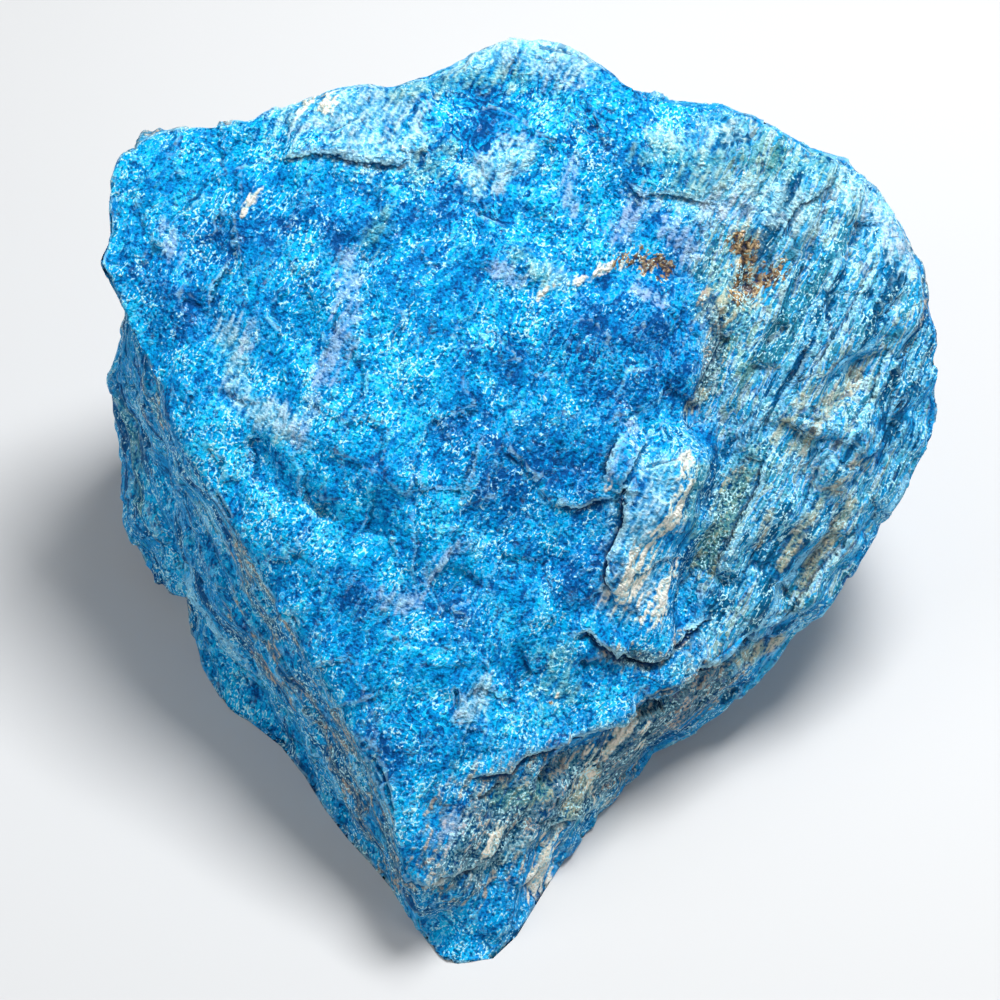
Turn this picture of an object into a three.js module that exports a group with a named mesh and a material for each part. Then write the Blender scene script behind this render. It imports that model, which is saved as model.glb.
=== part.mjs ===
// Apatite specimen: one natural, broken piece of blue apatite rock, lying on its underside.
// Millimetres. +X is to the viewer's right, +Y away from the viewer, +Z up.
// The rock splits in thin sheets. Its big sloping front is one such sheet plane. The right
// part has long straight ribs along the crystals, and on the other sides the sheet edges show.
import * as THREE from 'three';
import { ConvexHull } from 'three/addons/math/ConvexHull.js';

// A point well inside the rock, from which every corner can be seen.
const HEART = new THREE.Vector3(4, 15, 21);

// Longest triangle edge: on the front, on the ribs and the ledge, and on the back and underside.
const FINE_EDGE = 3.4;
const RIBBED_EDGE = 2.7;
const COARSE_EDGE = 6.2;
const SPLIT_ROUNDS = 5;
const BACK_START = 36;
const RIBS_START = 18;
const LEDGE_END = -8;

// Wear of the edges: rounds of smoothing that keep the volume.
const WEAR_ROUNDS = 3;
const WEAR_PULL = 0.5;
const WEAR_PUSH = 0.53;

// Long ribs of the right part: direction across them, width, height and how far they wander.
const ACROSS_RIBS = new THREE.Vector3(0.87, -0.19, -0.45).normalize();
const RIB_WIDTH = 5.4;
const RIB_HEIGHT = 1.2;
const RIB_WANDER = 1.6;

// Sheet edges of the other sides: direction across the sheets, thickness, height and wander.
const ACROSS_SHEETS = new THREE.Vector3(-0.075, -0.56, 0.825).normalize();
const SHEET = 3.9;
const SHEET_HEIGHT = 0.9;
const SHEET_WANDER = 1.1;
const WANDER_LENGTH = 13;

// Slow swells, crystal faces and pits of the broken surface.
const SWELL_LENGTH = 15;
const SWELL_HEIGHT = 1.1;
const CRYSTAL_SIZE = 7;
const CRYSTAL_TILT = 0.13;
const PIT_SPACING = 10;
const PIT_SHARE = 0.3;
const PIT_RADIUS = 1.9;
const PIT_DEPTH = 0.9;

// Hollows of the underside between the areas that touch the ground.
const HOLLOW_LENGTH = 13;
const HOLLOW_HEIGHT = 2.4;
const HOLLOW_START = 0.08;
const SEAT_RADIUS = 12;

const STONE_COLOUR = 0x3f9ac9;
const STONE_ROUGHNESS = 0.62;

const CORNERS = {
  // Top edge, from the left to the right
  rim0: [-46, 31.5, 56],
  rim1: [-42, 35.5, 57.5],
  rim2: [-32, 34.5, 60],
  rim3: [-17.5, 37, 62.5],
  rim4: [-8, 38, 62.5],
  rim5: [-3.5, 42, 65],
  rim6: [2, 42.5, 66],
  rim7: [10.5, 41, 66],
  rim8: [16, 37, 62],
  rim9: [25, 37.5, 60],
  rim10: [39.5, 33, 55],
  rim11: [45, 31, 51.5],
  right1: [49.5, 25, 47],
  right2: [53, 18, 40],
  right3: [53.5, 9.5, 31],
  right4: [47.5, 1.5, 25],
  right5: [42, -6, 19.5],

  // Horn at the upper left and the sharp ridge that falls from it to the front tip
  horn: [-47.5, 19.5, 51],
  neck: [-44, 12.5, 46],
  notch: [-43.5, 18.5, 38],
  ridge1: [-37, 1, 40.5],
  ridge2: [-27, -14, 31.5],
  ridge3: [-19, -24, 25.5],
  ridge4: [-13, -34, 18],
  ridge5: [-10.5, -42.5, 12],

  // Lip of the ledge at the lower right
  lip1: [2.5, -31.5, 15.5],
  lip2: [7, -26.5, 17],
  lip3: [12, -24, 17.5],
  lip4: [17.5, -20.5, 18],
  lip5: [24, -18, 18.5],
  lip6: [29.5, -14, 19.5],
  lip7: [36.5, -10, 20],

  // Sloping front
  front1: [-34.5, 13.5, 49.5],
  front2: [-36.5, 25.5, 55.5],
  front3: [-21, 0.5, 43.5],
  front4: [-20, 20.5, 55.5],
  front5: [-6, -25, 25],
  front6: [-7, -3.5, 41],
  front7: [-6, 13, 51.5],
  front8: [-6, 29, 59.5],
  front9: [5, 1, 42.5],
  front10: [7, 24, 56.5],
  front11: [-15, -15, 33.5],
  front12: [2.5, -16.5, 29],
  lump1: [10.5, 10.5, 49],
  lump2: [20, 12, 48],
  lump3: [16.5, 3.5, 41.5],
  crease1: [3.5, 15, 51],
  crease2: [18, 18.5, 51],
  crease3: [29.5, 18, 47.5],
  upper1: [16.5, 29, 58.5],
  upper2: [29, 28, 56],
  blade1: [19, -4, 35.5],
  blade2: [12, -11, 29.5],

  // Ribbed right part
  hollow1: [26.5, 7, 38.5],
  ribbed1: [38.5, 23, 51],
  ribbed2: [43.5, 16, 46],
  ribbed3: [35.5, 7.5, 40],
  ribbed4: [32, -5, 28.5],
  ribbed5: [43, 4, 35],
  ribbed6: [22.5, -10.5, 24],

  // Steep left side and the lobe behind it
  left1: [-42, 8, 35],
  left2: [-40.5, 5, 21],
  left3: [-37.5, -3, 8],
  left4: [-30, -11, 4],
  left5: [-21, -24.5, 5],
  lobe1: [-49.5, 25.5, 24],
  lobe2: [-50, 20, 15],
  lobe3: [-49.5, 11.5, 7],
  lobe4: [-45.5, 7, 2.5],

  // Ground line of the left side and the tip
  foot1: [-36.5, -10, 0],
  foot2: [-27, -16.5, 0],
  foot3: [-22, -26, 0],
  foot4: [-15.5, -33.5, 0],
  foot5: [-11.5, -39, 0],
  foot6: [-8.5, -43.5, 0],
  tip: [-5.5, -47.5, 0],

  // Wall under the ledge, which leaves the ground towards the right
  foot7: [0, -45.5, 0],
  foot8: [7.5, -33.5, 0],
  foot9: [12, -26.5, 0],
  foot10: [18, -20, 0],
  foot11: [23.5, -17, 3.5],
  foot12: [31.5, -14, 9],
  foot13: [36.5, -9.5, 13.5],
  wall1: [-4.5, -41.5, 6],
  wall2: [3, -35, 8],
  wall3: [10.5, -26.5, 9],
  wall4: [18, -21, 9],
  wall5: [26.5, -17, 11.5],

  // Back
  back1: [-40, 39, 45],
  back2: [-23, 47, 40],
  back3: [-9, 42, 55],
  back4: [2, 50, 47],
  back5: [26, 45, 40],
  back6: [45, 36, 37],
  back7: [-46, 34, 31],
  back8: [-36, 42, 27],
  back9: [-12, 50, 30],
  back10: [18, 49, 28],
  back11: [38, 42, 24],
  back12: [-46, 32, 10],
  back13: [-25, 45, 13],
  back14: [5, 46, 15],
  back15: [31, 39, 15],

  // Right side below the overhang
  side1: [50, 20, 20],
  side2: [44, 24, 6],
  side3: [38, 2, 9],

  // Underside
  base1: [-42, 8, 0],
  base2: [-40, 26, 0],
  base3: [-20, 38, 0],
  base4: [6, 40, 0],
  base5: [27, 31, 0],
  base6: [33, 12, 0],
  base7: [26, -6, 0],
  base8: [-5, 5, 0],
};

// Edges that stay sharp.
const SHARP = [
  ['horn', 'neck', 'ridge1', 'ridge2', 'ridge3', 'ridge4', 'ridge5'],
  ['ridge5', 'lip1', 'lip2', 'lip3', 'lip4', 'lip5', 'lip6', 'lip7', 'right5'],
];

// Grooves and raised blades, each along a path: half width, height above the surface, path.
const SCARS = [
  // Rust and cream seam across the upper middle, with its tail to the upper right
  { reach: 1.8, height: -1.3, path: [[0.5, 14, 51], [7, 15.5, 51.5], [18, 18.5, 51], [30, 18.5, 48]] },
  { reach: 1.6, height: -0.8, path: [[30, 18.5, 48], [27, 22, 51.5], [23.5, 25, 54.5]] },
  // Groove on the right of the deep blue lump
  { reach: 2.4, height: -2, path: [[23.5, 14.5, 48], [26.5, 11, 43], [25, 5.5, 38.5]] },
  // Cream blades
  { reach: 3.2, height: 1.4, path: [[21.5, 0.5, 37], [18, -5.5, 34], [14.5, -10.5, 28.5]] },
  { reach: 2, height: 0.9, path: [[14, 2.5, 41.5], [14.5, -3.5, 36.5]] },
  { reach: 2, height: 1, path: [[20, -9.5, 27], [17.5, -15, 22.5]] },
  // Dark green groove beside the blades
  { reach: 2, height: -2.2, path: [[28, 3, 36], [25.5, -3, 33], [23, -8, 27.5], [21.5, -11.5, 23.5]] },
  // Cracks above the lip of the ledge and under it
  { reach: 1.3, height: -1.5, path: [[15.5, -17.5, 22], [18, -17, 20.5], [23.5, -12.5, 22.5]] },
  { reach: 1.7, height: -1.8, path: [[5.5, -29, 14], [12, -25, 15], [20, -20.5, 16], [28, -16, 17], [36, -11, 18]] },
  // Scars beside the sharp ridge and high on the left
  { reach: 1.5, height: -1.2, path: [[-29.5, 0, 41.5], [-24.5, -5, 38.5], [-20.5, -8, 37.5]] },
  { reach: 1.5, height: -0.9, path: [[-34.5, 14.5, 50], [-32, 9.5, 47], [-30.5, 4.5, 44]] },
  // Steps of the lower middle and the upper right
  { reach: 1.8, height: -1, path: [[-7, -15.5, 31.5], [0, -11, 33.5], [7, -10, 32.5]] },
  { reach: 1.8, height: -1, path: [[7, 20.5, 54.5], [14, 23.5, 55], [22.5, 25.5, 55], [30.5, 25.5, 54]] },
  // Groove between the left side and its lobe
  { reach: 2, height: -1.8, path: [[-43, 14, 40], [-42.5, 9, 30], [-42, 6, 18], [-39.5, 1, 6]] },
  // Steps across the back
  { reach: 2.2, height: -1.8, path: [[-38, 41, 38], [-20, 47, 30], [-2, 49, 26], [12, 48, 18]] },
  { reach: 2.2, height: -1.5, path: [[44, 38, 33], [28, 45, 32], [14, 49, 38], [2, 49, 42]] },
];

const onGround = (point) => point.z < 1e-6;
const edgeKey = (a, b) => (a < b ? `${a}_${b}` : `${b}_${a}`);

// Joins the corners: the triangles are those of the convex hull of their directions from the heart.
function cage() {
  const names = Object.keys(CORNERS);
  const points = names.map((name) => new THREE.Vector3(...CORNERS[name]));
  const directions = points.map((point) => point.clone().sub(HEART).normalize());
  const place = new Map(directions.map((direction, index) => [direction, index]));
  const hull = new ConvexHull().setFromPoints(directions);
  const faces = hull.faces.map(({ edge }) => [
    place.get(edge.head().point),
    place.get(edge.next.head().point),
    place.get(edge.prev.head().point),
  ]);
  const sharp = new Set();
  for (const chain of SHARP) {
    for (let i = 1; i < chain.length; i += 1) {
      sharp.add(edgeKey(names.indexOf(chain[i - 1]), names.indexOf(chain[i])));
    }
  }
  markGroundLine(points, faces, sharp);
  return { points, faces, sharp };
}

// Keeps the line sharp where the flat underside meets the sides.
function markGroundLine(points, faces, sharp) {
  const seen = new Map();
  for (const face of faces) {
    const flat = face.every((index) => onGround(points[index]));
    for (let i = 0; i < 3; i += 1) {
      const key = edgeKey(face[i], face[(i + 1) % 3]);
      if (seen.has(key) && seen.get(key) !== flat) {
        sharp.add(key);
      }
      seen.set(key, flat);
    }
  }
}

// Longest edge allowed at a place on the rock.
function edgeLimit(point) {
  if (onGround(point) || point.y > BACK_START + point.z * 0.04) {
    return COARSE_EDGE;
  }
  const ribbed = point.x > RIBS_START && point.y < RIBS_START && point.z > HEART.z / 2;
  const ledge = point.y < LEDGE_END && point.x > LEDGE_END;
  return ribbed || ledge ? RIBBED_EDGE : FINE_EDGE;
}

// Splits every edge that is too long and keeps the triangles joined.
function splitLongEdges({ points, faces, sharp }) {
  const middles = new Map();
  const middleOf = (a, b) => {
    const key = edgeKey(a, b);
    if (!middles.has(key)) {
      const middle = points[a].clone().lerp(points[b], 0.5);
      const tooLong = points[a].distanceTo(points[b]) > edgeLimit(middle);
      middles.set(key, tooLong ? points.push(middle) - 1 : null);
      if (tooLong && sharp.delete(key)) {
        sharp.add(edgeKey(a, points.length - 1));
        sharp.add(edgeKey(b, points.length - 1));
      }
    }
    return middles.get(key);
  };
  const split = [];
  for (const [a, b, c] of faces) {
    split.push(...splitFace([a, b, c], [middleOf(a, b), middleOf(b, c), middleOf(c, a)], points));
  }
  return { points, faces: split, sharp };
}

// The triangles that one triangle becomes when some of its edges have a new middle point.
function splitFace(corners, middles, points) {
  const cuts = middles.filter((middle) => middle !== null).length;
  if (cuts === 0) {
    return [corners];
  }
  const start = cuts === 2 ? (middles.indexOf(null) + 1) % 3 : Math.max(0, middles.findIndex((m) => m !== null));
  const [a, b, c] = [0, 1, 2].map((step) => corners[(start + step) % 3]);
  const [ab, bc, ca] = [0, 1, 2].map((step) => middles[(start + step) % 3]);
  if (cuts === 1) {
    return [[a, ab, c], [ab, b, c]];
  }
  if (cuts === 3) {
    return [[a, ab, ca], [ab, b, bc], [ca, bc, c], [ab, bc, ca]];
  }
  const shorter = points[a].distanceTo(points[bc]) < points[ab].distanceTo(points[c]);
  const rest = shorter ? [[a, ab, bc], [a, bc, c]] : [[a, ab, c], [ab, bc, c]];
  return [[ab, b, bc], ...rest];
}

// Neighbours of each point. A point on a sharp edge has only its two neighbours on that edge.
function neighbourLists({ points, faces, sharp }) {
  const all = points.map(() => new Set());
  const onSharp = points.map(() => new Set());
  for (const face of faces) {
    for (let i = 0; i < 3; i += 1) {
      const from = face[i];
      const to = face[(i + 1) % 3];
      all[from].add(to);
      all[to].add(from);
      if (sharp.has(edgeKey(from, to))) {
        onSharp[from].add(to);
        onSharp[to].add(from);
      }
    }
  }
  return points.map((_, index) => {
    if (onSharp[index].size === 0) {
      return [...all[index]];
    }
    return onSharp[index].size === 2 ? [...onSharp[index]] : [];
  });
}

// Wears the facets into each other, then pushes back so that the rock keeps its size.
function wear(mesh) {
  const neighbours = neighbourLists(mesh);
  const pull = (amount) => {
    const moved = mesh.points.map((point, index) => {
      const around = neighbours[index];
      if (around.length === 0) {
        return point.clone();
      }
      const mean = new THREE.Vector3();
      around.forEach((other) => mean.addScaledVector(mesh.points[other], 1 / around.length));
      const next = point.clone().lerp(mean, amount);
      next.z = onGround(point) ? 0 : Math.max(next.z, 0.01);
      return next;
    });
    mesh.points = moved;
  };
  for (let round = 0; round < WEAR_ROUNDS; round += 1) {
    pull(WEAR_PULL);
    pull(-WEAR_PUSH);
  }
}

// Repeatable random number from 0 to 1 for a lattice cell.
function chance(x, y, z, salt) {
  let h = Math.imul(x, 374761393) ^ Math.imul(y, 668265263) ^ Math.imul(z, 1274126177) ^ Math.imul(salt, 974634777);
  h = Math.imul(h ^ (h >>> 15), 2246822519);
  h = Math.imul(h ^ (h >>> 13), 3266489917);
  return ((h ^ (h >>> 16)) >>> 0) / 4294967296;
}

// Smooth noise from -1 to 1 with bumps of the given length.
function swell(point, length, salt) {
  const [px, py, pz] = point.toArray().map((value) => value / length);
  const [ix, iy, iz] = [px, py, pz].map(Math.floor);
  const [fx, fy, fz] = [px - ix, py - iy, pz - iz].map((f) => f * f * (3 - 2 * f));
  let sum = 0;
  for (const [dx, wx] of [[0, 1 - fx], [1, fx]]) {
    for (const [dy, wy] of [[0, 1 - fy], [1, fy]]) {
      for (const [dz, wz] of [[0, 1 - fz], [1, fz]]) {
        sum += chance(ix + dx, iy + dy, iz + dz, salt) * wx * wy * wz;
      }
    }
  }
  return sum * 2 - 1;
}

// The nearest of the scattered grains, with the point's offset from its middle.
function nearestGrain(point, size, salt) {
  const cell = point.toArray().map((value) => Math.floor(value / size));
  let nearest = { distance: Infinity };
  for (let i = -1; i <= 1; i += 1) {
    for (let j = -1; j <= 1; j += 1) {
      for (let k = -1; k <= 1; k += 1) {
        const [x, y, z] = [cell[0] + i, cell[1] + j, cell[2] + k];
        const middle = new THREE.Vector3(
          (x + chance(x, y, z, salt)) * size,
          (y + chance(x, y, z, salt + 1)) * size,
          (z + chance(x, y, z, salt + 2)) * size,
        );
        const distance = middle.distanceTo(point);
        if (distance < nearest.distance) {
          nearest = { distance, offset: point.clone().sub(middle), id: [x, y, z] };
        }
      }
    }
  }
  return nearest;
}

// Height of the flat crystal faces: each grain is a small plane with a tilt of its own.
function crystalFaces(point) {
  const { offset, id } = nearestGrain(point, CRYSTAL_SIZE, 11);
  const tilt = new THREE.Vector3(...[21, 22, 23].map((salt) => chance(...id, salt) * 2 - 1));
  return tilt.dot(offset) * CRYSTAL_TILT;
}

// Depth of the round pits that broken grains have left.
function pits(point) {
  const { distance, id } = nearestGrain(point, PIT_SPACING, 41);
  const present = chance(...id, 44) < PIT_SHARE;
  return present ? -PIT_DEPTH * Math.max(0, 1 - (distance / PIT_RADIUS / 2) ** 2) : 0;
}

// A sheet edge: a slow rise and a short steep fall, from -0.5 to 0.5.
function sheetEdge(layer) {
  const part = layer - Math.floor(layer);
  return (part < 0.7 ? part / 0.7 : (1 - part) / 0.3) - 0.5;
}

// Long ribs of the right part and sheet edges of the other sides. Neither shows on the front.
function ribs(point, normal) {
  const wander = swell(point, WANDER_LENGTH, 5);
  const facing = THREE.MathUtils.smoothstep(normal.dot(ACROSS_SHEETS), 0.7, 0.85);
  const right = THREE.MathUtils.smoothstep(point.x, RIBS_START + 2, RIBS_START + 9);
  const rib = sheetEdge((point.dot(ACROSS_RIBS) + wander * RIB_WANDER) / RIB_WIDTH) * RIB_HEIGHT;
  const sheet = sheetEdge((point.dot(ACROSS_SHEETS) + wander * SHEET_WANDER) / SHEET) * SHEET_HEIGHT;
  return rib * right * facing + sheet * (1 - facing);
}

// Height of all grooves and blades at a point.
function scars(point) {
  const closest = new THREE.Vector3();
  let height = 0;
  for (const scar of SCARS) {
    let distance = Infinity;
    for (let i = 1; i < scar.path.length; i += 1) {
      const line = new THREE.Line3(new THREE.Vector3(...scar.path[i - 1]), new THREE.Vector3(...scar.path[i]));
      line.closestPointToPoint(point, true, closest);
      distance = Math.min(distance, closest.distanceTo(point));
    }
    height += scar.height * Math.exp(-((distance / scar.reach) ** 2));
  }
  return height;
}

// Height of the underside above the ground: it touches in the middle and in broad patches.
function undersideHollow(point) {
  const away = THREE.MathUtils.smoothstep(Math.hypot(point.x, point.y), SEAT_RADIUS, SEAT_RADIUS * 2);
  return Math.max(0, swell(point, HOLLOW_LENGTH, 61) - HOLLOW_START) * HOLLOW_HEIGHT * away;
}

// Raises and lowers the worn surface along its normals.
function carve(points, normals) {
  return points.map((point, index) => {
    if (onGround(point)) {
      const edge = normals[index].z > -0.97;
      return new THREE.Vector3(point.x, point.y, edge ? 0 : undersideHollow(point));
    }
    const normal = normals[index];
    const broad = swell(point, SWELL_LENGTH, 1) * SWELL_HEIGHT + swell(point, SWELL_LENGTH / 2, 2) * SWELL_HEIGHT * 0.4;
    const height = broad + crystalFaces(point) + pits(point) + ribs(point, normal) + scars(point);
    const next = point.clone().addScaledVector(normal, height);
    next.z = Math.max(next.z, 0.05);
    return next;
  });
}

function geometryOf(points, faces) {
  const geometry = new THREE.BufferGeometry().setFromPoints(points);
  geometry.setIndex(faces.flat());
  geometry.computeVertexNormals();
  return geometry;
}

function buildStone() {
  let mesh = cage();
  for (let round = 0; round < SPLIT_ROUNDS; round += 1) {
    mesh = splitLongEdges(mesh);
  }
  wear(mesh);
  const worn = geometryOf(mesh.points, mesh.faces).getAttribute('normal');
  const normals = mesh.points.map((_, index) => new THREE.Vector3().fromBufferAttribute(worn, index));
  const geometry = geometryOf(carve(mesh.points, normals), mesh.faces);

  // The middle of the outline seen from above stands on the origin.
  geometry.computeBoundingBox();
  const middle = geometry.boundingBox.getCenter(new THREE.Vector3());
  geometry.translate(-middle.x, -middle.y, 0);
  return geometry;
}

const apatiteRock = new THREE.MeshStandardMaterial({
  name: 'apatite_rock',
  color: STONE_COLOUR,
  roughness: STONE_ROUGHNESS,
  metalness: 0,
});

const stone = new THREE.Mesh(buildStone(), apatiteRock);
stone.name = 'stone';

const specimen = new THREE.Group();
specimen.name = 'apatite_specimen';
specimen.add(stone);

export default specimen;
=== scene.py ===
"""Apatite specimen, a rough piece of blue rock on a pale floor, seen from the photograph's angle."""

import logging
import math
from dataclasses import dataclass
from enum import Enum, IntEnum

import bpy
import numpy as np
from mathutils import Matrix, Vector
from mathutils.bvhtree import BVHTree


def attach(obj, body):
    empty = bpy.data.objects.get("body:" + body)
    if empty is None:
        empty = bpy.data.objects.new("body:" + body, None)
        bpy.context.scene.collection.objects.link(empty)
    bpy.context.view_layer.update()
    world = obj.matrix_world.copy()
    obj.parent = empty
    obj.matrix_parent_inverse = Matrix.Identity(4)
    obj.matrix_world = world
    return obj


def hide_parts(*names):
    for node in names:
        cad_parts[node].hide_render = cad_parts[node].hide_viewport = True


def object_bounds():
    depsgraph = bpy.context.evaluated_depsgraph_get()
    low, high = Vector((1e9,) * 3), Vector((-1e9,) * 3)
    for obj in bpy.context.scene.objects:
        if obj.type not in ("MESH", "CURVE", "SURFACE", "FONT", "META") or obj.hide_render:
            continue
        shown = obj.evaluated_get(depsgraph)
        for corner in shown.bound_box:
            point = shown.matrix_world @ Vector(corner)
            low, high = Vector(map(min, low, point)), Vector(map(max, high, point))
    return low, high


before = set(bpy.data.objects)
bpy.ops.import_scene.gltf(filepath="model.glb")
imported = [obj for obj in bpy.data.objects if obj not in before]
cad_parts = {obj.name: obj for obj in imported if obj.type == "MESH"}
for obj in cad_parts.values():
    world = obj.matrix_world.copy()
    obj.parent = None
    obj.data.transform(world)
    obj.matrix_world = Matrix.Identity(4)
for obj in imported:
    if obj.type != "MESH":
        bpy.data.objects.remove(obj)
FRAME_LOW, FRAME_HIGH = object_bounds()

LOG = logging.getLogger("apatite_specimen")
MM = 0.001
SEED = 7


class Zone(str, Enum):
    """Kinds of coloured area on the stone. The value is the name of the point attribute."""

    FLAKY = "flaky"
    PALE = "pale"
    CREAM = "cream"
    RUST = "rust"
    GREY = "grey"
    GREEN = "green"
    DEEP = "deep"
    BEIGE = "beige"
    BRIGHT = "bright"
    # Grey-teal rock colour, also used as painted shade on the low wall under the ledge and in the gaps by
    # the blades.
    TEAL_AND_SHADE = "teal"


class Breakup(Enum):
    """How the edge of a coloured area is broken up."""

    BLOTS = "blots"
    STRIPS = "strips"
    SPECKS = "specks"


class Salt(IntEnum):
    """Chooses an independent random pattern for each use."""

    GRAINS = 10
    TILTS = 20
    WANDER = 50
    WINDING = 51
    SHORT_WINDING = 52
    CRACK_BEND = 53
    GRIT = 54
    FLAKES = 55
    RIB_HEIGHT = 57
    STAINED_SIDES = 58
    CRACKS = 60
    OPEN_CRACKS = 61
    STEP_BEND = 70
    CHIPS = 80
    CHIP_DEPTH = 90
    SWAY = 100


Pixels = tuple[tuple[int, int], ...]
Tones = tuple[str, ...]
Place = tuple[float, float, float]


@dataclass(frozen=True)
class Patch:
    """One coloured area along a path.

    Args:
        name: What it is on the stone.
        zone: What the area is made of.
        reach: Half width of the area, in millimetres.
        path: Corners of its middle line, in pixels of the photograph.
    """

    name: str
    zone: Zone
    reach: float
    path: Pixels


@dataclass(frozen=True)
class Step:
    """A crack along which one side stands higher.

    Args:
        name: Which edge of the stone it is.
        height: Height of the side on the left of the path, in millimetres.
        fade: Distance in which the high side sinks back, in millimetres.
        path: Corners of the crack, in pixels of the photograph.
    """

    name: str
    height: float
    fade: float
    path: Pixels


@dataclass(frozen=True)
class View:
    """Where the photograph was taken from, and how its pixels lie on the stone.

    Args:
        elevation: Angle of the view above the ground.
        lens: Focal length in millimetres.
        sensor: Width of the sensor in millimetres.
        distance: From the camera to the point that it looks at, in metres.
        pixels: Width and height of the photograph.
        aim: That point, as shares of the frame box from its middle, and from the ground upwards.
    """

    elevation: float = math.radians(55)
    lens: float = 90.0
    sensor: float = 36.0
    distance: float = 0.3
    pixels: int = 1000
    aim: tuple[float, float, float] = (-0.0154, -0.0195, 0.461)

    def target(self) -> Vector:
        """The point that the camera looks at, in metres."""
        low, high = Vector(FRAME_LOW), Vector(FRAME_HIGH)
        size, middle = high - low, (low + high) / 2
        across, back, up = self.aim
        return Vector((middle.x + across * size.x, middle.y + back * size.y, low.z + up * size.z))

    def towards_camera(self) -> Vector:
        """Direction from the target to the camera."""
        return Vector((0, -math.cos(self.elevation), math.sin(self.elevation)))

    def eye(self) -> Vector:
        """Place of the camera, in metres."""
        return self.target() + self.towards_camera() * self.distance

    def ray(self, pixel: tuple[int, int]) -> Vector:
        """Direction in which the camera sees a pixel of the photograph."""
        forward = -self.towards_camera()
        right = Vector((1, 0, 0))
        up = right.cross(forward)
        per_pixel = self.sensor / self.lens / self.pixels
        across, down = (part - self.pixels / 2 for part in pixel)
        return (forward + right * across * per_pixel - up * down * per_pixel).normalized()


@dataclass(frozen=True)
class ReliefSizes:
    """Driving sizes of the fine relief, in millimetres.

    Args:
        across_sheets: Direction across the rock's thin sheets.
        along_fibres: Direction of the long crystals within the sheets.
        across_ribs: Direction across the long ribs of the right part.
        rib: Width of the finer ribs of the right part.
        rib_height: Height of the finer ribs.
        sheet: Thickness of the sheets whose edges show as ribs on the sides.
        sheet_height: Height of those ribs.
        terrace: Thickness of the flakes where the surface lies along the sheets.
        terrace_step: Height of a flake's edge.
        grain: Size of the larger crystal faces.
        tilt: Slope of the larger crystal faces.
        crack_cell: Size of the areas between thin cracks.
        crack_depth: Depth of the thin cracks.
        foot: Depth of the crack at the foot of a step, as a share of its height.
        foot_width: Half width of that crack.
        step_end: Length in which a step fades out at each end.
        step_reach: Farthest from a step that its sharp edge is drawn.
        chip: Size of the chips along the ridges.
        chip_depth: Most that a chip takes off a ridge.
        wander: Most that ribs and sheets stray from straight, and the length in which they do.
        winding: The same for the flakes.
        short_winding: The same for the small bends in the flakes' edges.
        crack_bend: The same for the cracks.
        step_bend: The same for the steps.
        grit: Height of the rough grit, and the length of its bumps.
        sway: Most that the streaks stray from straight, and the length in which they do.
    """

    across_sheets: tuple[float, float, float] = (-0.075, -0.56, 0.825)
    along_fibres: tuple[float, float, float] = (0.44, 0.7, 0.56)
    across_ribs: tuple[float, float, float] = (0.87, -0.19, -0.45)
    rib: float = 4.3
    rib_height: float = 1.0
    sheet: float = 3.1
    sheet_height: float = 0.4
    terrace: float = 2.6
    terrace_step: float = 0.4
    grain: float = 5.5
    tilt: float = 0.1
    crack_cell: float = 9.0
    crack_depth: float = 0.1
    foot: float = 0.3
    foot_width: float = 0.8
    step_end: float = 3.0
    step_reach: float = 3.0
    chip: float = 3.4
    chip_depth: float = 1.3
    wander: tuple[float, float] = (0.6, 9)
    winding: tuple[float, float] = (2.4, 11)
    short_winding: tuple[float, float] = (0.9, 4)
    crack_bend: tuple[float, float] = (0.8, 3)
    step_bend: tuple[float, float] = (0.35, 2.5)
    grit: tuple[float, float] = (0.12, 1.9)
    sway: tuple[float, float] = (1.5, 7)


@dataclass(frozen=True)
class TextureSizes:
    """Real sizes of the rock's fine pattern, in millimetres.

    The crushed grit of the real rock is finer than 0.1 mm. A picture of the whole stone
    can't show that, so the grit is drawn at about three times its size.

    Args:
        cloud: Size of the areas of paler and deeper blue.
        large_crystal: Size of the large crystals that show as single tones.
        crystal: Size of the small crystals whose edges are drawn pale, partly as crushed white and partly
            as painted glints.
        fine: Size of the rough bumps on them.
        grit: Size of the crushed grit.
        streak: Width of the thin streaks along the fibres and sheets.
        band: Width of the broader bands along them.
        flake: Thickness of the flakes on the upper part.
        flake_winding: How far the flakes' edges wander.
        bump: Height of the fine bumps.
        grit_bump: Height of the grit.
        streak_bump: Height of the streaks.
        step_bump: Height of the sharp edge along a step.
        step_fray: How far that edge is frayed by the fine bumps.
    """

    cloud: float = 5.5
    large_crystal: float = 2.3
    crystal: float = 0.5
    fine: float = 0.8
    grit: float = 0.33
    streak: float = 0.75
    band: float = 3.0
    flake: float = 0.9
    flake_winding: float = 9.0
    bump: float = 0.4
    grit_bump: float = 0.24
    streak_bump: float = 0.8
    step_bump: float = 0.6
    step_fray: float = 0.9


@dataclass(frozen=True)
class ToneWeights:
    """How much each pattern moves the blue along its range of tones, from 0 to 1.

    Args:
        middle: Tone of the plain rock.
        cloud: Swing of the large areas.
        large_crystal: Swing from one large crystal to the next.
        crystal: Swing from one small crystal to the next.
        fine: Swing of the fine bumps.
        grit: Swing of the grit.
        streak: Swing of the streaks.
        flake: Swing across a flake.
        clean: Darkening of the clean, uncrushed crystals.
        bright: Lightening of the bright areas.
        deep: Darkening of the cobalt crystals.
    """

    middle: float = 0.46
    cloud: float = 0.9
    large_crystal: float = 0.34
    crystal: float = 0.3
    fine: float = 0.6
    grit: float = 0.7
    streak: float = 0.4
    flake: float = 0.5
    clean: float = -0.12
    bright: float = 0.05
    deep: float = -0.2


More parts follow.
